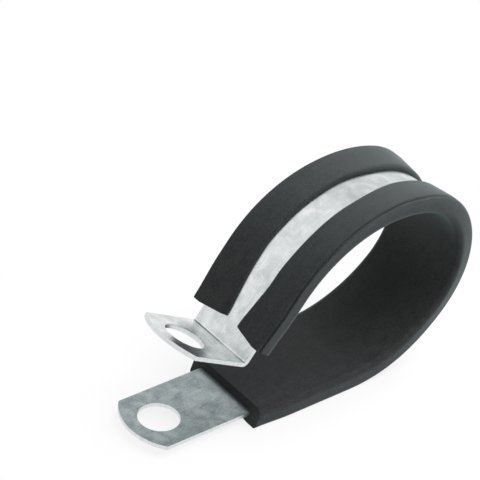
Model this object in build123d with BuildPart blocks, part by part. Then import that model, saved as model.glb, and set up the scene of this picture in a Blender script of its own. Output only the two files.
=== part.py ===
"""Rubber-lined P clip: a sheet steel band bent to an open loop, with a channel-section liner.

Millimetres. The origin is the centre of the lower mounting hole, on the underside of the lower
tab. +X runs from that hole towards the loop, +Y across the band and +Z up.
"""
from build123d import *
import math
import os

# Sheet steel band
sheet = 0.7
band_width = 12.0
hole_radius = 3.2
hole_to_tip = 5.3  # hole centre to the crown of the rounded tab end
tip_rise = 2.35  # height of the arc that rounds off a tab end
lower_hole_to_liner = 12.2
upper_hole_to_fold = 7.95  # to the corner where the two bent faces would meet
bare_upper_leg = 2.75  # from the liner's end to the same corner
fold_inner_radius = 0.3
fold_angle = 83.4  # how far the upper tab turns back from the upper leg

# Rubber liner
pad_thickness = 1.2
side_wall = 2.05
lip_thickness = 1.2
lip_edge_thickness = 0.75  # the lips thin out towards the bare strip
bare_strip_width = 4.6
pad_corner_radius = 1.0
lip_corner_radius = 1.25
channel_face_clearance = 0.03  # between the sheet's faces and the rubber
channel_edge_clearance = 0.15  # between the sheet's edges and the side walls

# Side view of the loop, from the lower leg round to the upper one
lower_leg = 18.7  # long enough to lie under the clip's centre of mass
rise_radius = 23.2
rise_turn = 46.5
nose_bore_radius = 11.8  # the rubber's inner face at the far end, where a cable beds in
nose_turn = 114.0
crown_radius = 22.0
crown_turn = 75.3
upper_leg = 9.6

# The route follows the band's outer face, so radii measured elsewhere are carried over to it
nose_radius = nose_bore_radius + pad_thickness + channel_face_clearance + sheet
fold_setback = fold_inner_radius * math.tan(math.radians(fold_angle / 2))
corner_reach = hole_to_tip - tip_rise

with BuildLine(Plane.XZ) as loop_route:
    leg = Line((lower_hole_to_liner, 0), (lower_hole_to_liner + lower_leg, 0))
    rise = JernArc(leg @ 1, leg % 1, rise_radius, rise_turn)
    nose = JernArc(rise @ 1, rise % 1, nose_radius, nose_turn)
    crown = JernArc(nose @ 1, nose % 1, crown_radius, crown_turn)
    upper = Line(crown @ 1, crown @ 1 + (crown % 1) * upper_leg)

# The band leaves the liner, runs on bare for a moment and folds back into the upper tab
with BuildLine(Plane.XZ) as band_route:
    add(loop_route.line)
    bare_leg = Line(upper @ 1, upper @ 1 + (upper % 1) * (bare_upper_leg - fold_setback))
    fold = JernArc(bare_leg @ 1, bare_leg % 1, fold_inner_radius, -fold_angle)

start = Plane(origin=leg @ 0, x_dir=(0, 1, 0), z_dir=leg % 0)

with BuildSketch(start) as band_section:
    Rectangle(band_width, sheet, align=(Align.CENTER, Align.MIN))

# One half of the channel, from the middle of the pad round to the edge of the bare strip
pad_face = sheet + channel_face_clearance
channel_half = band_width / 2 + channel_edge_clearance
liner_half = channel_half + side_wall
strip_half = bare_strip_width / 2

with BuildLine() as channel_outline:
    Polyline(
        (0, pad_face),
        (channel_half, pad_face),
        (channel_half, -channel_face_clearance),
        (strip_half, -channel_face_clearance),
        (strip_half, -channel_face_clearance - lip_edge_thickness),
        (channel_half, -channel_face_clearance - lip_thickness),
        (liner_half, -channel_face_clearance - lip_thickness),
        (liner_half, pad_face + pad_thickness),
        (0, pad_face + pad_thickness),
        close=True,
    )

with BuildSketch(start) as liner_section:
    make_face(channel_outline.line)
    mirror(about=Plane.YZ)
    upright = liner_section.edges().filter_by(Axis.Y).sort_by(Axis.X)
    outer_corners = (upright[0] + upright[-1]).vertices()
    fillet(outer_corners.group_by(Axis.Y)[-1], pad_corner_radius)
    outer_corners = liner_section.vertices().group_by(Axis.Y)[0].sort_by(Axis.X)
    fillet((outer_corners[0], outer_corners[-1]), lip_corner_radius)


def tab_outline(plane: Plane, root: float) -> Sketch:
    """Outline of a tab, centred on its hole, with +X of the plane towards the tip."""
    half = band_width / 2
    with BuildLine() as edge:
        Polyline((corner_reach, half), (-root, half), (-root, -half), (corner_reach, -half))
        ThreePointArc((corner_reach, -half), (hole_to_tip, 0), (corner_reach, half))
    with BuildSketch(plane) as outline:
        make_face(edge.line)
        Circle(hole_radius, mode=Mode.SUBTRACT)
    return outline.sketch


lower_tab = tab_outline(Plane(origin=(0, 0, 0), x_dir=(-1, 0, 0), z_dir=(0, 0, 1)), lower_hole_to_liner)

# The route ends on the upper tab's top face, so the sheet is added below it
tab_direction = fold % 1
tab_facing = Vector(0, 1, 0).cross(tab_direction)
upper_root = upper_hole_to_fold - fold_setback
upper_plane = Plane(
    origin=fold @ 1 + tab_direction * upper_root, x_dir=tab_direction, z_dir=tab_facing
)
upper_tab = tab_outline(upper_plane, upper_root)

with BuildPart() as steel_band:
    sweep(sections=band_section.sketch, path=band_route.line)
    extrude(lower_tab, sheet)
    extrude(upper_tab, -sheet)

with BuildPart() as rubber_liner:
    sweep(sections=liner_section.sketch, path=loop_route.line)

steel_band.part.label = "steel_band"
rubber_liner.part.label = "rubber_liner"

os.makedirs("parts", exist_ok=True)
export_step(steel_band.part, "parts/steel_band.step")
export_step(rubber_liner.part, "parts/rubber_liner.step")
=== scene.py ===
"""A rubber-lined P clip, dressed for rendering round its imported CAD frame.

The clip lies open on its lower leg. A zinc-plated steel band runs from the lower tab round the
loop to a sharp fold and the upper tab, and a rubber channel wraps it everywhere but at the tabs.
"""

import logging
import math
from dataclasses import dataclass, field
from enum import Enum
from typing import Callable, Iterable, Optional

import bmesh
import bpy
from mathutils import Matrix, Vector, noise

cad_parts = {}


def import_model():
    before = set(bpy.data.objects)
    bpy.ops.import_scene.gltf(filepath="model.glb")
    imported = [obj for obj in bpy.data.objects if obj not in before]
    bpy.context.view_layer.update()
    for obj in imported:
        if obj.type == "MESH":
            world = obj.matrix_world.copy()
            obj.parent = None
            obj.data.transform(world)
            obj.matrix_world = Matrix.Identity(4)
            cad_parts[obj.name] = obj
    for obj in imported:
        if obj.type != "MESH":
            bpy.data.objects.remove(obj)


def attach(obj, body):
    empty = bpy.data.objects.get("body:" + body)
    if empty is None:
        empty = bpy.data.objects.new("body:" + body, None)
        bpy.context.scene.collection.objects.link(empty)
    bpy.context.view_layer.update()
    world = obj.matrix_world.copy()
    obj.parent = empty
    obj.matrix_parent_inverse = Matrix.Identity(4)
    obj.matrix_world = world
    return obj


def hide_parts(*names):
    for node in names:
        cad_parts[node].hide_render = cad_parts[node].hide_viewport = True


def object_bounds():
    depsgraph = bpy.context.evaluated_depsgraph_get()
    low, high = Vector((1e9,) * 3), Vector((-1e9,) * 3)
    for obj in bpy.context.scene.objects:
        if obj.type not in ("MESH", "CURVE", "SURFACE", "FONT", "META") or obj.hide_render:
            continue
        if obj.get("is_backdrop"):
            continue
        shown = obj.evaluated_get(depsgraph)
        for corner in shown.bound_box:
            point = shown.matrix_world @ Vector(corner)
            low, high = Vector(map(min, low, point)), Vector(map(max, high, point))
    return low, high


log = logging.getLogger("p_clip")

MM = 0.001
Station = tuple[float, float, float, float]  # run, x, z in millimetres and heading in degrees


class Element(Enum):
    """What a selection in edit mode is made of."""

    VERT = "VERT"
    EDGE = "EDGE"
    FACE = "FACE"


def linear(hex_colour: str) -> tuple[float, float, float, float]:
    """Turn an sRGB hex colour into linear RGBA.

    Args:
        hex_colour: Six hex digits, such as "8f979b".

    Returns:
        The linear colour with an alpha of 1.
    """
    parts = [int(hex_colour[i:i + 2], 16) / 255 for i in (0, 2, 4)]
    return (*(c / 12.92 if c <= 0.04045 else ((c + 0.055) / 1.055) ** 2.4 for c in parts), 1.0)


def add_node(tree: bpy.types.NodeTree, kind: str, settings: Optional[dict] = None,
             links: Optional[dict] = None) -> bpy.types.Node:
    """Add a shader node, set its properties and sockets, and link its inputs.

    Args:
        tree: The node tree that takes the node.
        kind: The node's type name without the "ShaderNode" prefix.
        settings: Property names, or input names or numbers, to their values.
        links: Input names or numbers to the output sockets that feed them.

    Returns:
        The new node.
    """
    node = tree.nodes.new("ShaderNode" + kind)
    for key, value in (settings or {}).items():
        if isinstance(key, str) and hasattr(node, key):
            setattr(node, key, value)
        else:
            node.inputs[key].default_value = value
    for key, socket in (links or {}).items():
        tree.links.new(socket, node.inputs[key])
    return node


def new_material(name: str) -> tuple[bpy.types.Material, bpy.types.NodeTree]:
    """Make an empty node material and return it with its tree."""
    material = bpy.data.materials.new(name)
    material.use_nodes = True
    material.node_tree.nodes.clear()
    return material, material.node_tree


def ramp(tree: bpy.types.NodeTree, source: bpy.types.NodeSocket,
         stops: Iterable[tuple[float, str]]) -> bpy.types.NodeSocket:
    """Map a value to colours.

    Args:
        tree: The node tree.
        source: The value to map.
        stops: Positions and sRGB hex colours, in order.

    Returns:
        The colour output.
    """
    node = add_node(tree, "ValToRGB", links={"Fac": source})
    elements = node.color_ramp.elements
    for index, (position, colour) in enumerate(stops):
        element = elements[index] if index < 2 else elements.new(position)
        element.position = position
        element.color = linear(colour)
    return node.outputs["Color"]


def select_only(piece: bpy.types.Object) -> None:
    """Make a piece the only selected object and the active one."""
    if bpy.context.object and bpy.context.object.mode != "OBJECT":
        bpy.ops.object.mode_set(mode="OBJECT")
    bpy.ops.object.select_all(action="DESELECT")
    piece.select_set(True)
    bpy.context.view_layer.objects.active = piece


def pick(piece: bpy.types.Object, kind: Element, test: Callable[[object], bool]) -> None:
    """Select what passes a test in edit mode, and nothing else.

    Args:
        piece: The object in edit mode.
        kind: What to test and select.
        test: Given a vertex, an edge or a face, says whether to select it.
    """
    bpy.ops.mesh.select_mode(type=kind.value)
    bpy.ops.mesh.select_all(action="DESELECT")
    mesh = bmesh.from_edit_mesh(piece.data)
    pool = {Element.VERT: mesh.verts, Element.EDGE: mesh.edges, Element.FACE: mesh.faces}[kind]
    for item in pool:
        if test(item):
            item.select_set(True)
    mesh.select_flush_mode()
    bmesh.update_edit_mesh(piece.data)


def at(value: float, target_mm: float, slack_mm: float = 0.02) -> bool:
    """Say whether a coordinate in metres is at a place given in millimetres."""
    return abs(value / MM - target_mm) < slack_mm


def apply_modifier(piece: bpy.types.Object, kind: str, **settings: object) -> None:
    """Add a modifier to a piece with the given settings and apply it."""
    select_only(piece)
    modifier = piece.modifiers.new(kind.lower(), kind)
    for key, value in settings.items():
        setattr(modifier, key, value)
    bpy.ops.object.modifier_apply(modifier=modifier.name)


def shade(piece: bpy.types.Object) -> None:
    """Shade a piece smooth across its rounded edges while its flat faces stay flat."""
    select_only(piece)
    bpy.ops.object.shade_smooth_by_angle(angle=math.radians(35))
    apply_modifier(piece, "WEIGHTED_NORMAL", keep_sharp=True, weight=80)


@dataclass(frozen=True)
class Stretch:
    """One stretch of the clip's side view: a straight run, or an arc that turns upwards.

    Attributes:
        length: Length of a straight run, or radius of an arc, in millimetres.
        turn: Angle of the arc in degrees, 0 for a straight run.
        steps: How many rings of vertices the stretch adds.
    """

    length: float
    turn: float
    steps: int


@dataclass(frozen=True)
class SideView:
    """The clip seen from the side, along the band's outer face, in millimetres."""

    start: float = 12.2
    leg: Stretch = Stretch(18.7, 0.0, 16)
    rise: Stretch = Stretch(23.2, 46.5, 26)
    nose: Stretch = Stretch(13.73, 114.0, 44)
    crown: Stretch = Stretch(22.0, 75.3, 40)
    upper: Stretch = Stretch(9.6, 0.0, 9)
    bare_upper_leg: float = 2.75
    fold_radius: float = 0.3
    fold_angle: float = 83.4

    @property
    def fold_setback(self) -> float:
        """Distance from the fold's corner to where its arc begins."""
        return self.fold_radius * math.tan(math.radians(self.fold_angle / 2))

    def lined(self) -> list[Stretch]:
        """The stretches that the rubber covers."""
        return [self.leg, self.rise, self.nose, self.crown, self.upper]

    def bare(self) -> list[Stretch]:
        """The stretches of the band between the rubber and the upper tab."""
        return [Stretch(self.bare_upper_leg - self.fold_setback, 0.0, 4),
                Stretch(self.fold_radius, -self.fold_angle, 10)]


@dataclass
class Sweep:
    """Carries what is selected in edit mode along the side view, stretch by stretch."""

    x: float
    z: float = 0.0
    heading: float = 0.0
    stations: list[Station] = field(default_factory=list)
    run: float = 0.0

    def direction(self) -> Vector:
        """The way the sweep is heading, in the XZ plane."""
        angle = math.radians(self.heading)
        return Vector((math.cos(angle), 0.0, math.sin(angle)))

    def inward(self) -> Vector:
        """The normal on the loop's inner side."""
        along = self.direction()
        return Vector((-along.z, 0.0, along.x))

    def note(self) -> None:
        """Remember this place as a station."""
        self.stations.append((self.run, self.x, self.z, self.heading))

    def follow(self, stretch: Stretch) -> None:
        """Extrude or spin the selection along one stretch."""
        if not self.stations:
            self.note()
        if stretch.turn:
            self._bend(stretch)
        else:
            self._straight(stretch)

    def _straight(self, stretch: Stretch) -> None:
        step = self.direction() * (stretch.length / stretch.steps)
        for _ in range(stretch.steps):
            bpy.ops.mesh.extrude_region_move(TRANSFORM_OT_translate={"value": step * MM})
            self.x += step.x
            self.z += step.z
            self.run += step.length
            self.note()

    def _bend(self, stretch: Stretch) -> None:
        side = math.copysign(1.0, stretch.turn)
        centre = Vector((self.x, 0.0, self.z)) + self.inward() * stretch.length * side
        bpy.ops.mesh.spin(steps=stretch.steps, angle=math.radians(stretch.turn), center=centre * MM,
                          axis=(0.0, 1.0, 0.0), use_auto_merge=False)
        for _ in range(stretch.steps):
            self.heading += stretch.turn / stretch.steps
            place = centre - self.inward() * stretch.length * side
            self.x, self.z = place.x, place.z
            self.run += math.radians(abs(stretch.turn)) * stretch.length / stretch.steps
            self.note()


def smooth(share: float) -> float:
    """Ease a share from 0 to 1, held at 0 below and at 1 above."""
    share = min(max(share, 0.0), 1.0)
    return share * share * (3 - 2 * share)


@dataclass(frozen=True)
class Ease:
    """A share that rises from 0 to 1 over a length along the band, in millimetres."""

    start: float
    length: float

    def at(self, distance: float) -> float:
        """The share at a distance."""
        return smooth((distance - self.start) / self.length)


def station_of(co: Vector, stations: list[Station]) -> tuple[float, float, float]:
    """Find where a point lies along the band.

    Args:
        co: The point, in metres.
        stations: The places that the sweep noted.

    Returns:
        The distance along the band and the height above its outer face, in millimetres, and the
        band's heading there, in radians.
    """
    best = (1e9, 0.0, 0.0, 0.0)
    for run, x, z, heading in stations:
        angle = math.radians(heading)
        dx, dz = co.x / MM - x, co.z / MM - z
        along = dx * math.cos(angle) + dz * math.sin(angle)
        inward = -dx * math.sin(angle) + dz * math.cos(angle)
        miss = abs(along) + 0.2 * abs(inward)
        if miss < best[0]:
            best = (miss, run + along, inward, angle)
    return best[1:]


def write_run(piece: bpy.types.Object, stations: list[Station]) -> None:
    """Store the unrolled strip as a UV map: U along the band and V across it, 1 unit to 10 mm."""
    mesh = piece.data
    layer = mesh.uv_layers.new(name="unrolled")
    places = [station_of(v.co, stations) for v in mesh.vertices]
    for loop in mesh.loops:
        run, inward, _ = places[loop.vertex_index]
        co = mesh.vertices[loop.vertex_index].co
        layer.data[loop.index].uv = (run / 10, (co.y / MM + inward) / 10)


# Finishes


@dataclass(frozen=True)
class ZincPlate:
    """Cold-rolled mild steel strip, barrel plated with clear bright zinc.

    The plating gives a soft metallic grey with cloudy patches a few millimetres across, where the
    chromate is thicker, and faint lines along the rolling direction. The lower tab is duller,
    stained and darker, the darkness partly a painted dim reflection.
    """

    name: str = "zinc plated steel"
    dull: str = "c4cbcc"
    bright: str = "f4f5f4"
    stain_and_painted_reflection: str = "7a8588"
    finger_marks_and_painted_reflection: str = "bbc4c5"
    roughness: float = 0.23
    patch_mm: float = 2.6
    line_mm: float = 0.35  # the real rolling lines are finer, drawn as coarse as they need to show

    def make(self) -> bpy.types.Material:
        """Build the material."""
        material, tree = new_material(self.name)
        unrolled = add_node(tree, "UVMap", {"uv_map": "unrolled"})
        patches = add_node(tree, "Mapping", {"Scale": (10 / self.patch_mm, 10 / self.patch_mm, 1)},
                           {"Vector": unrolled.outputs["UV"]})
        cloud = add_node(tree, "TexNoise", {"Scale": 1.0, "Detail": 4.0, "Roughness": 0.6,
                                            "Distortion": 0.6},
                         {"Vector": patches.outputs["Vector"]})
        lines = add_node(tree, "Mapping", {"Scale": (0.9, 10 / self.line_mm, 1)},
                         {"Vector": unrolled.outputs["UV"]})
        rolled = add_node(tree, "TexNoise", {"Scale": 1.0, "Detail": 3.0, "Roughness": 0.55},
                          {"Vector": lines.outputs["Vector"]})
        grain = add_node(tree, "Mapping", {"Scale": (45, 45, 45)},
                         {"Vector": unrolled.outputs["UV"]})
        speck = add_node(tree, "TexNoise", {"Scale": 1.0, "Detail": 5.0, "Roughness": 0.7},
                         {"Vector": grain.outputs["Vector"]})
        blend = add_node(tree, "Math", {"operation": "MULTIPLY_ADD", 1: 0.14, 2: 0.0},
                         {0: rolled.outputs["Fac"]})
        total = add_node(tree, "Math", {"operation": "MULTIPLY_ADD", 1: 0.62},
                         {0: cloud.outputs["Fac"], 2: blend.outputs[0]})
        mixed = add_node(tree, "Math", {"operation": "MULTIPLY_ADD", 1: 0.24},
                         {0: speck.outputs["Fac"], 2: total.outputs[0]})
        specked = add_node(tree, "Math", {"operation": "MULTIPLY_ADD", 1: 0.45},
                           {0: speck.outputs["Fac"], 2: mixed.outputs[0]})
        clean = ramp(tree, mixed.outputs[0], ((0.36, self.dull), (0.68, self.bright)))
        # painted reflection: the lower tab's stained tones are dark partly to stand in for a dimmer
        # reflection
        handled_and_painted_reflection = ramp(tree, specked.outputs[0], ((0.55, self.stain_and_painted_reflection), (0.88, self.finger_marks_and_painted_reflection)))
        run = add_node(tree, "SeparateXYZ", links={"Vector": unrolled.outputs["UV"]})
        lower = add_node(tree, "MapRange", {"From Min": 0.1, "From Max": 0.5, "To Min": 1.0,
                                            "To Max": 0.0},
                         {"Value": run.outputs["X"]})
        colour = add_node(tree, "MixRGB", links={"Fac": lower.outputs["Result"], "Color1": clean,
                                                 "Color2": handled_and_painted_reflection}).outputs["Color"]
        base = add_node(tree, "Math", {"operation": "MULTIPLY_ADD", 1: 0.08, 2: self.roughness},
                        {0: lower.outputs["Result"]})
        vary = add_node(tree, "MapRange", {"From Min": 0.35, "From Max": 0.7, "To Min": 0.06,
                                           "To Max": -0.06},
                        {"Value": mixed.outputs[0]})
        rough = add_node(tree, "Math", {"operation": "ADD"},
                         {0: base.outputs[0], 1: vary.outputs["Result"]})
        bump = add_node(tree, "Bump", {"Strength": 0.25, "Distance": 0.00004},
                        {"Height": mixed.outputs[0]})
        shader = add_node(tree, "BsdfPrincipled", {"Metallic": 1.0},
                          {"Base Color": colour, "Roughness": rough.outputs[0],
                           "Normal": bump.outputs["Normal"]})
        add_node(tree, "OutputMaterial", links={"Surface": shader.outputs["BSDF"]})
        return material


@dataclass(frozen=True)
class ShearedSteel:
    """The band's cut edge, as the shear left it: bright, with fine marks through the thickness."""

    name: str = "sheared steel edge"
    dark: str = "d6dadb"
    light: str = "e9ebeb"
    mark_mm: float = 0.22

    def make(self) -> bpy.types.Material:
        """Build the material."""
        material, tree = new_material(self.name)
        unrolled = add_node(tree, "UVMap", {"uv_map": "unrolled"})
        marks = add_node(tree, "Mapping", {"Scale": (10 / self.mark_mm, 2.5, 1)},
                         {"Vector": unrolled.outputs["UV"]})
        streak = add_node(tree, "TexNoise", {"Scale": 1.0, "Detail": 3.0},
                          {"Vector": marks.outputs["Vector"]})
        colour = ramp(tree, streak.outputs["Fac"], ((0.3, self.dark), (0.7, self.light)))
        bump = add_node(tree, "Bump", {"Strength": 0.12, "Distance": 0.00003},
                        {"Height": streak.outputs["Fac"]})
        shader = add_node(tree, "BsdfPrincipled", {"Metallic": 1.0, "Roughness": 0.4},
                          {"Base Color": colour, "Normal": bump.outputs["Normal"]})
        add_node(tree, "OutputMaterial", links={"Surface": shader.outputs["BSDF"]})
        return material


@dataclass(frozen=True)
class ExtrudedRubber:
    """Black EPDM extrusion: charcoal with a satin skin and faint lines along the extrusion.

    The attribute "stretch" is painted light: where it is high, on the loop's upper outer faces
    from the nose round the crown, the colour is mixed to a paler tone that stands in for light.
    """

    name: str = "extruded EPDM rubber"
    deep: str = "262728"
    worn: str = "393b3b"
    # painted light: the paler tone that stands in for light on the loop's upper outer faces
    painted_light_tone: str = "464a4b"
    roughness: float = 0.42
    patch_mm: float = 1.6
    line_mm: float = 0.5
    grain_mm: float = 0.25
    bloom: str = "9fb8ba"

    def make(self) -> bpy.types.Material:
        """Build the material."""
        material, tree = new_material(self.name)
        unrolled = add_node(tree, "UVMap", {"uv_map": "unrolled"})
        patches = add_node(tree, "Mapping", {"Scale": (7 / self.patch_mm, 10 / self.patch_mm, 1)},
                           {"Vector": unrolled.outputs["UV"]})
        cloud = add_node(tree, "TexNoise", {"Scale": 1.0, "Detail": 6.0, "Roughness": 0.65},
                         {"Vector": patches.outputs["Vector"]})
        lines = add_node(tree, "Mapping", {"Scale": (0.8, 10 / self.line_mm, 1)},
                         {"Vector": unrolled.outputs["UV"]})
        drawn = add_node(tree, "TexNoise", {"Scale": 1.0, "Detail": 2.0},
                         {"Vector": lines.outputs["Vector"]})
        place = add_node(tree, "TexCoord")
        grain = add_node(tree, "TexNoise", {"Scale": 1000 / self.grain_mm, "Detail": 3.0,
                                            "Roughness": 0.6},
                         {"Vector": place.outputs["Object"]})
        lined = add_node(tree, "Math", {"operation": "MULTIPLY_ADD", 1: 0.12},
                         {0: drawn.outputs["Fac"], 2: grain.outputs["Fac"]})
        mixed = add_node(tree, "Math", {"operation": "MULTIPLY_ADD", 1: 0.6},
                         {0: cloud.outputs["Fac"], 2: lined.outputs[0]})
        plain = ramp(tree, mixed.outputs[0], ((0.62, self.deep), (1.1, self.worn)))
        painted_light_ramp = ramp(tree, mixed.outputs[0], ((0.55, self.worn), (1.0, self.painted_light_tone)))
        # painted light: the attribute "stretch" mixes the paler tone in
        stretch = add_node(tree, "Attribute", {"attribute_name": "stretch"})
        colour = add_node(tree, "MixRGB", links={"Fac": stretch.outputs["Fac"], "Color1": plain,
                                                 "Color2": painted_light_ramp}).outputs["Color"]
        height = add_node(tree, "Math", {"operation": "MULTIPLY_ADD", 1: 0.25},
                          {0: drawn.outputs["Fac"], 2: grain.outputs["Fac"]})
        bump = add_node(tree, "Bump", {"Strength": 0.5, "Distance": 0.00004},
                        {"Height": height.outputs[0]})
        rough = add_node(tree, "MapRange", {"From Min": 0.6, "From Max": 1.0,
                                            "To Min": self.roughness - 0.05,
                                            "To Max": self.roughness + 0.1},
                         {"Value": mixed.outputs[0]})
        shader = add_node(tree, "BsdfPrincipled", {"IOR": 1.5, "Specular IOR Level": 0.1,
                                                   "Sheen Weight": 0.5, "Sheen Roughness": 0.4,
                                                   "Sheen Tint": linear(self.bloom)},
                          {"Base Color": colour, "Roughness": rough.outputs["Result"],
                           "Normal": bump.outputs["Normal"]})
        add_node(tree, "OutputMaterial", links={"Surface": shader.outputs["BSDF"]})
        return material


@dataclass(frozen=True)
class CutRubber:
    """The liner's sawn ends: the same rubber without its skin, matt and darker, partly with painted
    shade.
    """

    name: str = "cut EPDM rubber"
    # painted shade: both tones are darkened past bare cut rubber, to stand in for shade on the ends
    deep: str = "1b1d1d"
    pale: str = "2b2e2e"
    saw_mm: float = 0.4

    def make(self) -> bpy.types.Material:
        """Build the material."""
        material, tree = new_material(self.name)
        place = add_node(tree, "TexCoord")
        marks = add_node(tree, "Mapping", {"Scale": (1000 / self.saw_mm,) * 3},
                         {"Vector": place.outputs["Object"]})
        sawn = add_node(tree, "TexNoise", {"Scale": 1.0, "Detail": 4.0, "Roughness": 0.65},
                        {"Vector": marks.outputs["Vector"]})
        colour = ramp(tree, sawn.outputs["Fac"], ((0.35, self.deep), (0.7, self.pale)))
        bump = add_node(tree, "Bump", {"Strength": 0.5, "Distance": 0.00006},
                        {"Height": sawn.outputs["Fac"]})
        shader = add_node(tree, "BsdfPrincipled", {"Roughness": 0.7, "IOR": 1.5,
                                                   "Specular IOR Level": 0.15},
                          {"Base Color": colour, "Normal": bump.outputs["Normal"]})
        add_node(tree, "OutputMaterial", links={"Surface": shader.outputs["BSDF"]})
        return material


# The clip's pieces


@dataclass
class SteelBand:
    """The bent strip with its two punched tabs, in millimetres."""

    view: SideView
    sheet: float = 0.7
    width: float = 12.0
    hole_radius: float = 3.2
    hole_to_tip: float = 5.3
    tip_rise: float = 2.35
    upper_hole_to_fold: float = 7.95
    # Only an upper bound: the bevel's overlap clamp narrows it, by a share that differs from run
    # to run, because the solidified sheet differs in its last digits and merges differently
    edge_break: float = 0.09
    across: int = 24

    def build(self) -> bpy.types.Object:
        """Model the band, give it its finishes and tie it to the frame."""
        piece, sweep = self._strip()
        apply_modifier(piece, "SOLIDIFY", thickness=self.sheet * MM, offset=1.0,
                       use_even_offset=True)
        holes = ((Vector((0, 0, 0)), Vector((0, 0, 1))), self._upper_hole(sweep))
        for centre, facing in holes:
            self._punch(piece, centre, facing)
        self._merge_flats(piece)
        apply_modifier(piece, "BEVEL", width=self.edge_break * MM, segments=2,
                       limit_method="ANGLE", angle_limit=math.radians(50))
        self._dress(piece, sweep)
        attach(piece, "root")
        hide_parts("steel_band")
        return piece

    def _bulge(self, y: float) -> float:
        """How far the rounded tab end stands out at a distance y from the middle."""
        half = self.width / 2
        radius = (half ** 2 + self.tip_rise ** 2) / (2 * self.tip_rise)
        return math.sqrt(radius ** 2 - y ** 2) - (radius - self.tip_rise)

    def _round_end(self, piece: bpy.types.Object, along: Vector,
                   is_end: Callable[[Vector], bool]) -> None:
        """Push a tab's square end out to its arc, a pair of vertices at a time."""
        step = self.width / self.across
        for index in range(self.across // 2):
            y = index * step
            pick(piece, Element.VERT,
                 lambda v: is_end(v.co) and abs(abs(v.co.y) / MM - y) < step / 4)
            bpy.ops.transform.translate(value=along * self._bulge(y) * MM)

    def _strip(self) -> tuple[bpy.types.Object, Sweep]:
        """Model the band's outer face as one strip of faces, tip to tip."""
        corner = self.hole_to_tip - self.tip_rise
        length = self.view.start + corner
        bpy.ops.mesh.primitive_grid_add(x_subdivisions=6, y_subdivisions=self.across, size=1)
        piece = bpy.context.object
        piece.name = "zinc_plated_band"
        bpy.ops.object.mode_set(mode="EDIT")
        bpy.ops.mesh.select_all(action="SELECT")
        bpy.ops.transform.resize(value=(length * MM, self.width * MM, 1))
        bpy.ops.transform.translate(value=((length / 2 - corner) * MM, 0, 0))
        self._round_end(piece, Vector((-1, 0, 0)), lambda co: at(co.x, -corner))
        pick(piece, Element.EDGE,
             lambda e: all(at(v.co.x, self.view.start) for v in e.verts))
        sweep = Sweep(self.view.start)
        for stretch in self.view.lined() + self.view.bare():
            sweep.follow(stretch)
        flat = self.upper_hole_to_fold - self.view.fold_setback + corner
        sweep.follow(Stretch(flat, 0.0, 5))
        end = Vector((sweep.x, 0.0, sweep.z)) * MM
        along = sweep.direction()
        self._round_end(piece, along, lambda co: abs((co - end).dot(along)) < 0.05 * MM
                        and (co - end).length < self.width * MM)
        bpy.ops.mesh.select_all(action="SELECT")
        bpy.ops.mesh.normals_make_consistent(inside=False)
        bpy.ops.object.mode_set(mode="OBJECT")
        first = min(piece.data.polygons, key=lambda p: p.center.length)
        if first.normal.z < 0:
            piece.data.flip_normals()
        return piece, sweep

    def _upper_hole(self, sweep: Sweep) -> tuple[Vector, Vector]:
        """Centre and facing of the upper tab's hole."""
        back = self.hole_to_tip - self.tip_rise
        centre = Vector((sweep.x, 0, sweep.z)) - sweep.direction() * back
        return centre * MM, sweep.inward()

    def _punch(self, piece: bpy.types.Object, centre: Vector, facing: Vector) -> None:
        """Punch one hole through the sheet with a round tool."""
        bpy.ops.mesh.primitive_cylinder_add(
            vertices=72, radius=self.hole_radius * MM, depth=4 * self.sheet * MM, location=centre,
            rotation=facing.to_track_quat("Z", "Y").to_euler())
        tool = bpy.context.object
        apply_modifier(piece, "BOOLEAN", operation="DIFFERENCE", solver="EXACT", object=tool)
        bpy.data.objects.remove(tool, do_unlink=True)

    def _merge_flats(self, piece: bpy.types.Object) -> None:
        """Join faces that lie in one plane, so that the bevel meets no needless edges."""
        select_only(piece)
        bpy.ops.object.mode_set(mode="EDIT")
        bpy.ops.mesh.select_all(action="SELECT")
        bpy.ops.mesh.dissolve_limited(angle_limit=math.radians(0.4))
        bpy.ops.object.mode_set(mode="OBJECT")

    def _dress(self, piece: bpy.types.Object, sweep: Sweep) -> None:
        """Give faces and sheared edges their finishes."""
        rows = [(x - self.view.start, x, 0.0, 0.0) for x in (-5.0, 0.0, 5.0, 10.0)]
        write_run(piece, rows + sweep.stations)
        piece.data.materials.clear()
        piece.data.materials.append(ZincPlate().make())
        piece.data.materials.append(ShearedSteel().make())
        shade(piece)
        for face in piece.data.polygons:
            heading = station_of(face.center, rows + sweep.stations)[2]
            across = -face.normal.x * math.sin(heading) + face.normal.z * math.cos(heading)
            face.material_index = 1 if abs(across) < 0.5 else 0


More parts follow.
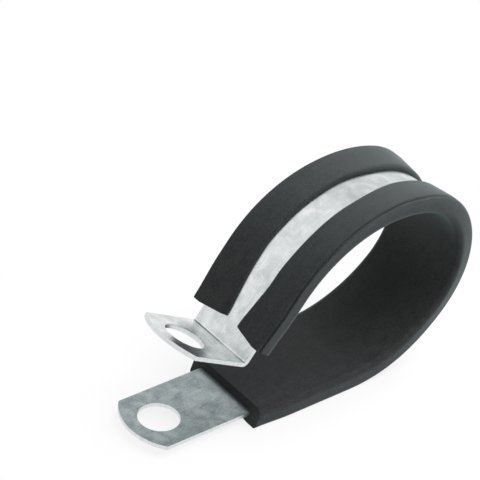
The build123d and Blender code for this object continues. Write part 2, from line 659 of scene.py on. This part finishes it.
@dataclass
class RubberLiner:
    """The channel extrusion that wraps the band round the loop, in millimetres."""

    view: SideView
    sheet: float = 0.7
    band_width: float = 12.0
    pad: float = 1.2
    side_wall: float = 2.05
    lip: float = 1.2
    lip_edge: float = 0.75
    bare_strip: float = 4.6
    face_clearance: float = 0.03
    edge_clearance: float = 0.15
    pad_corner: float = 1.1
    lip_corner: float = 0.5
    lip_edge_corner: float = 0.5
    lip_crease: float = 0.45
    edge_break: float = 0.1
    bare_half: tuple[tuple[float, float], ...] = (
        (0.0, 1.5), (10.0, 2.4), (14.0, 2.55), (27.0, 2.55), (35.0, 2.1), (60.0, 2.1), (72.0, 2.3))
    lip_drawn_back: float = 0.85
    draw_reach: float = 4.0
    draw_power: float = 1.4
    end_pinch: float = 0.35
    pinch_reach: float = 7.0
    end_lean: float = 0.9
    lean_reach: float = 5.0
    edge_wave: float = 0.07
    wave_rate: float = 0.22  # cells of noise to a millimetre
    wave_seed: tuple[float, float] = (7.0, 1.7)
    bend_pull: float = 0.55
    bend_in: Ease = Ease(24, 18)  # from the lower end
    bend_out: Ease = Ease(14, 26)  # from the upper end, as are the next two
    # painted light: the paler tone fades out over this stretch towards the upper end
    painted_light_out: Ease = Ease(4, 34)
    crease_out: Ease = Ease(33, 12)
    painted_light_height: float = 0.85  # share of the section's height that the painted light covers

    def build(self) -> bpy.types.Object:
        """Model the liner, give it its finishes and tie it to the frame."""
        piece = self._section()
        sweep = Sweep(self.view.start)
        select_only(piece)
        bpy.ops.object.mode_set(mode="EDIT")
        bpy.ops.mesh.select_mode(type="FACE")
        bpy.ops.mesh.select_all(action="SELECT")
        for stretch in self.view.lined():
            sweep.follow(stretch)
        bpy.ops.mesh.select_all(action="SELECT")
        bpy.ops.mesh.normals_make_consistent(inside=False)
        bpy.ops.object.mode_set(mode="OBJECT")
        self._settle(piece, sweep)
        apply_modifier(piece, "BEVEL", width=self.edge_break * MM, segments=2,
                       limit_method="ANGLE", angle_limit=math.radians(50))
        self._dress(piece, sweep)
        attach(piece, "root")
        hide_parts("rubber_liner")
        return piece

    def _bare_half(self, from_end: float) -> float:
        """Half the width that the lips leave bare, at a distance from the upper end."""
        table = self.bare_half
        for (near, wide), (far, narrow) in zip(table, table[1:]):
            if from_end < far:
                share = smooth((from_end - near) / (far - near))
                return wide + (narrow - wide) * share
        return table[-1][1]

    def _settle(self, piece: bpy.types.Object, sweep: Sweep) -> None:
        """Lay the swept rubber as it lies on the part.

        The lips close in towards the upper end and are drawn back there by the oblique cut, both
        ends are pinched a little, and the lower end's cut leans back towards the pad. Round the
        nose the side walls lean in towards the lips, which are drawn taut there. A crease runs
        along each outer corner of the lips from the upper end and fades out just past the crown.
        The attribute "stretch" written here is painted light: it is high on the loop's upper outer
        faces from the nose round the crown, where light falls, and pales the rubber there.
        """
        channel = self.band_width / 2 + self.edge_clearance
        edge = self.bare_strip / 2
        bottom = -self.face_clearance - self.lip
        height = self.sheet + self.face_clearance + self.pad - bottom
        total = sweep.run
        fold_y, fold_z = channel + self.side_wall - self.lip_corner, bottom + self.lip_corner
        wave_apart, wave_level = self.wave_seed
        # painted light: "stretch" pales the rubber on the loop's upper outer faces, where light
        # falls
        stretch = piece.data.attributes.new("stretch", "FLOAT", "POINT")
        for vertex in piece.data.vertices:
            run, inward, heading = station_of(vertex.co, sweep.stations)
            from_end = total - run
            bend = self.bend_in.at(run) * self.bend_out.at(from_end)
            side = math.copysign(1.0, vertex.co.y)
            out = abs(vertex.co.y) / MM
            stretch.data[vertex.index].value = (
                self.bend_in.at(run) * self.painted_light_out.at(from_end)
                * (1 - smooth((inward - bottom) / (self.painted_light_height * height))))
            crease = Vector((out - fold_y, inward - fold_z))
            if crease.x > 0 and crease.y < 0:
                turn = math.atan2(crease.x, -crease.y)
                depth = self.lip_crease * math.sin(2 * turn) * (1 - self.crease_out.at(from_end))
                out -= depth * math.sin(turn)
                lift = depth * math.cos(turn)
                vertex.co.x -= lift * math.sin(heading) * MM
                vertex.co.z += lift * math.cos(heading) * MM
                inward += lift
            shift = (self.end_lean * smooth(1 - run / self.lean_reach)
                     * (inward - bottom) / height)
            if inward < 0 and out < channel:
                share = (channel - out) / (channel - edge)
                wave = noise.noise(Vector((run * self.wave_rate, side * wave_apart, wave_level)))
                out += share * (self._bare_half(from_end) - edge + self.edge_wave * wave)
                shift -= (self.lip_drawn_back * share ** self.draw_power
                          * smooth(1 - from_end / self.draw_reach))
            elif out > channel:
                near_end = (smooth(1 - from_end / self.pinch_reach)
                            + smooth(1 - run / self.pinch_reach))
                lean = self.bend_pull * bend * (1 - (inward - bottom) / height)
                out -= (self.end_pinch * near_end + lean) * (out - channel) / self.side_wall
            vertex.co.y = side * out * MM
            vertex.co.x += shift * math.cos(heading) * MM
            vertex.co.z += shift * math.sin(heading) * MM

    def _section(self) -> bpy.types.Object:
        """Model the flat channel section where the lower leg leaves the tab."""
        x = self.view.start
        channel = self.band_width / 2 + self.edge_clearance
        outer = channel + self.side_wall
        pad_face = self.sheet + self.face_clearance
        top = pad_face + self.pad
        bottom = -self.face_clearance - self.lip
        bpy.ops.mesh.primitive_plane_add(size=1, rotation=(0, math.pi / 2, 0))
        piece = bpy.context.object
        piece.name = "rubber_channel"
        bpy.ops.object.transform_apply(location=True, rotation=True, scale=True)
        bpy.ops.object.mode_set(mode="EDIT")
        bpy.ops.mesh.select_all(action="SELECT")
        bpy.ops.transform.resize(value=(1, channel * MM, self.pad * MM))
        bpy.ops.transform.translate(value=Vector((x, channel / 2, pad_face + self.pad / 2)) * MM)
        # Side wall and lip grow from the pad's outer edge, a block at a time
        pick(piece, Element.EDGE, lambda e: all(at(v.co.y, channel) for v in e.verts))
        bpy.ops.mesh.extrude_region_move(
            TRANSFORM_OT_translate={"value": (0, self.side_wall * MM, 0)})
        pick(piece, Element.EDGE, lambda e: all(
            at(v.co.z, pad_face) and v.co.y / MM > channel - 0.02 for v in e.verts))
        bpy.ops.mesh.extrude_region_move(
            TRANSFORM_OT_translate={"value": (0, 0, -(pad_face + self.face_clearance) * MM)})
        bpy.ops.mesh.extrude_region_move(
            TRANSFORM_OT_translate={"value": (0, 0, -self.lip * MM)})
        pick(piece, Element.EDGE, lambda e: all(
            at(v.co.y, channel) and v.co.z / MM < -self.face_clearance + 0.02 for v in e.verts))
        bpy.ops.mesh.extrude_region_move(
            TRANSFORM_OT_translate={"value": (0, (self.bare_strip / 2 - channel) * MM, 0)})
        pick(piece, Element.VERT, lambda v: at(v.co.y, self.bare_strip / 2) and at(v.co.z, bottom))
        bpy.ops.transform.translate(value=(0, 0, (self.lip - self.lip_edge) * MM))
        corners = ((outer, top, self.pad_corner, 6), (outer, bottom, self.lip_corner, 7),
                   (self.bare_strip / 2, -self.face_clearance - self.lip_edge,
                    self.lip_edge_corner, 4))
        for y, z, radius, segments in corners:
            pick(piece, Element.VERT, lambda v: at(v.co.y, y) and at(v.co.z, z))
            bpy.ops.mesh.bevel(affect="VERTICES", offset=radius * MM, segments=segments,
                               offset_type="OFFSET", profile=0.5)
        bpy.ops.object.mode_set(mode="OBJECT")
        apply_modifier(piece, "MIRROR", use_axis=(False, True, False), use_clip=True,
                       merge_threshold=0.01 * MM)
        return piece

    def _dress(self, piece: bpy.types.Object, sweep: Sweep) -> None:
        """Give skin and cut ends their finishes."""
        write_run(piece, sweep.stations)
        piece.data.materials.clear()
        piece.data.materials.append(ExtrudedRubber().make())
        piece.data.materials.append(CutRubber().make())
        shade(piece)
        ends = ((Vector((self.view.start, 0, 0)), Vector((-1, 0, 0))),
                (Vector((sweep.x, 0, sweep.z)), sweep.direction()))
        for face in piece.data.polygons:
            face.material_index = int(any(
                face.normal.dot(facing) > 0.99
                and abs((face.center / MM - place).dot(facing)) < 0.05
                for place, facing in ends))


# The room round the clip


@dataclass
class Camera:
    """The photograph's view: a long lens, a little over a third of a metre away."""

    azimuth: float = -44.353
    elevation: float = 35.194
    roll: float = 9.0
    distance: float = 371.15
    focal_px: float = 2477.8
    frame_px: float = 480.0
    mark: tuple[float, float, float] = (12.2, 0.0, 0.0)
    mark_px: tuple[float, float] = (222.51, 393.90)

    def build(self) -> bpy.types.Object:
        """Place the camera so that the mark on the clip lands on its pixel."""
        a, e, r = (math.radians(v) for v in (self.azimuth, self.elevation, self.roll))
        look = Vector((-math.sin(a) * math.cos(e), math.cos(a) * math.cos(e), -math.sin(e)))
        right = Vector((math.cos(a), math.sin(a), 0))
        up = right.cross(look)
        right, up = right * math.cos(r) + up * math.sin(r), up * math.cos(r) - right * math.sin(r)
        middle = self.frame_px / 2
        dx = (self.mark_px[0] - middle) / self.focal_px * self.distance
        dy = (middle - self.mark_px[1]) / self.focal_px * self.distance
        eye = Vector(self.mark) - (right * dx + up * dy + look * self.distance)
        data = bpy.data.cameras.new("camera")
        data.sensor_width = 36.0
        data.lens = self.focal_px * data.sensor_width / self.frame_px
        data.clip_start = 0.01
        camera = bpy.data.objects.new("camera", data)
        bpy.context.scene.collection.objects.link(camera)
        turn = Matrix((right, up, -look)).transposed().to_4x4()
        camera.matrix_world = Matrix.Translation(eye * MM) @ turn
        bpy.context.scene.camera = camera
        return camera


@dataclass(frozen=True)
class Softbox:
    """One area lamp that faces the clip and that metal doesn't mirror.

    Attributes:
        name: The lamp's name.
        azimuth: Degrees round the clip, from -Y towards +X.
        elevation: Degrees above the floor.
        size: Side of the lamp in metres.
        watts: Its power.
        distance: Metres from the clip.
    """

    name: str
    azimuth: float
    elevation: float
    size: float
    watts: float
    distance: float = 0.75

    def build(self, target: Vector) -> bpy.types.Object:
        """Place the lamp and turn it towards the clip."""
        a, e = math.radians(self.azimuth), math.radians(self.elevation)
        away = Vector((math.sin(a) * math.cos(e), -math.cos(a) * math.cos(e), math.sin(e)))
        data = bpy.data.lights.new(self.name, "AREA")
        data.shape = "SQUARE"
        data.size = self.size
        data.energy = self.watts
        lamp = bpy.data.objects.new(self.name, data)
        bpy.context.scene.collection.objects.link(lamp)
        lamp.visible_glossy = False
        lamp.location = target + away * self.distance
        lamp.rotation_euler = away.to_track_quat("Z", "Y").to_euler()
        return lamp


@dataclass
class Studio:
    """White table, soft lamps and a white surround.

    Attributes:
        floor_z: Height of the table, in metres.
        target: The clip's middle, in metres.
        floor_half: Half the table's side, in metres.
        surround: The world's strength where it only lights.
        dim_from: Where the ceiling is dimmer in the metal's reflections.
        dim_cone: Cosines between which it dims.
        dim_level: Its strength there.
        low_level: Strength of the reflected wall at the floor.
        low_wall: Heights of the reflected direction between which the wall brightens.
        shade_reach: Metres from the clip between which the table turns from paper to plain white.
        shade_level: How much of the camera's view of the table is plain white at the clip.
    """

    floor_z: float
    target: Vector
    floor_half: float = 1.2
    surround: float = 0.15
    dim_from: tuple[float, float, float] = (0.45, 0.50, 0.74)
    dim_cone: tuple[float, float] = (0.89, 0.98)
    dim_level: float = 0.88
    low_level: float = 0.92
    low_wall: tuple[float, float] = (0.2, 0.55)
    shade_reach: tuple[float, float] = (0.02, 0.05)
    shade_level: float = 0.8

    def build(self) -> None:
        """Set up the world, the floor and the lamps."""
        self._world()
        self._floor()
        lamps = (Softbox("key", 52, 50, 1.2, 3.0), Softbox("fill", -70, 45, 0.8, 0.3),
                 Softbox("top", 80, 62, 0.7, 8.0))
        for lamp in lamps:
            lamp.build(self.target)

    def _world(self) -> None:
        """A white surround with a dimmer stretch of ceiling, up behind the clip."""
        world = bpy.data.worlds.new("surround")
        bpy.context.scene.world = world
        world.use_nodes = True
        tree = world.node_tree
        tree.nodes.clear()
        path = add_node(tree, "LightPath")
        place = add_node(tree, "TexCoord")
        facing = add_node(tree, "VectorMath", {"operation": "DOT_PRODUCT",
                                               1: Vector(self.dim_from).normalized()},
                          {0: place.outputs["Generated"]})
        ceiling = add_node(tree, "MapRange", {"interpolation_type": "SMOOTHSTEP",
                                              "From Min": self.dim_cone[0],
                                              "From Max": self.dim_cone[1], "To Min": 1.0,
                                              "To Max": self.dim_level},
                           {"Value": facing.outputs["Value"]})
        height = add_node(tree, "SeparateXYZ", links={"Vector": place.outputs["Generated"]})
        wall = add_node(tree, "MapRange", {"interpolation_type": "SMOOTHSTEP",
                                           "From Min": self.low_wall[0],
                                           "From Max": self.low_wall[1],
                                           "To Min": self.low_level},
                        {"Value": height.outputs["Z"]})
        room = add_node(tree, "Math", {"operation": "MULTIPLY"},
                        {0: ceiling.outputs["Result"], 1: wall.outputs["Result"]})
        seen = add_node(tree, "MapRange", {"To Min": self.surround},
                        {"Value": path.outputs["Is Glossy Ray"], "To Max": room.outputs[0]})
        level = add_node(tree, "MapRange", {"To Max": 1.0},
                         {"Value": path.outputs["Is Camera Ray"], "To Min": seen.outputs["Result"]})
        light = add_node(tree, "Background", {"Color": linear("ffffff")},
                         {"Strength": level.outputs["Result"]})
        add_node(tree, "OutputWorld", links={"Surface": light.outputs["Background"]})

    def _floor(self) -> None:
        """White paper that keeps the clip's shadow."""
        bpy.ops.object.select_all(action="DESELECT")
        bpy.ops.mesh.primitive_plane_add(size=2 * self.floor_half, location=(0, 0, self.floor_z))
        floor = bpy.context.object
        floor.name = "table"
        bpy.ops.object.transform_apply(location=True, rotation=True, scale=True)
        material, tree = new_material("white paper")
        path = add_node(tree, "LightPath")
        paper = add_node(tree, "BsdfDiffuse", {"Color": linear("f2f2f2")})
        glow = add_node(tree, "Emission", {"Color": linear("ffffff"), "Strength": 1.0})
        place = add_node(tree, "TexCoord")
        away = add_node(tree, "VectorMath", {"operation": "DISTANCE", 1: self.target},
                        {0: place.outputs["Object"]})
        near = add_node(tree, "MapRange", {"interpolation_type": "SMOOTHSTEP",
                                           "From Min": self.shade_reach[0],
                                           "From Max": self.shade_reach[1],
                                           "To Min": self.shade_level, "To Max": 1.0},
                        {"Value": away.outputs["Value"]})
        shown = add_node(tree, "Math", {"operation": "MULTIPLY"},
                         {0: path.outputs["Is Camera Ray"], 1: near.outputs["Result"]})
        share = add_node(tree, "Math", {"operation": "MAXIMUM"},
                         {0: shown.outputs[0], 1: path.outputs["Is Glossy Ray"]})
        mix = add_node(tree, "MixShader", links={0: share.outputs[0], 1: paper.outputs["BSDF"],
                                                 2: glow.outputs["Emission"]})
        add_node(tree, "OutputMaterial", links={"Surface": mix.outputs["Shader"]})
        floor.data.materials.append(material)
        floor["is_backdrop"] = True


def as_lists(bounds: tuple[Vector, Vector]) -> list[list[float]]:
    """Turn a box's two corners into plain lists."""
    return [[float(v) for v in corner] for corner in bounds]


def main() -> None:
    """Load the frame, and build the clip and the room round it."""
    logging.basicConfig(level=logging.INFO, format="%(name)s: %(message)s")
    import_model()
    cad_box = as_lists(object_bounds())
    view = SideView()
    for maker in (SteelBand(view), RubberLiner(view)):
        piece = maker.build()
        log.info("%s: %d faces", piece.name, len(piece.data.polygons))
    scene = bpy.context.scene
    scene.view_settings.view_transform = "Standard"
    middle = (Vector(cad_box[0]) + Vector(cad_box[1])) / 2
    Camera().build()
    Studio(floor_z=cad_box[0][2], target=middle).build()


if __name__ == "__main__":
    main()
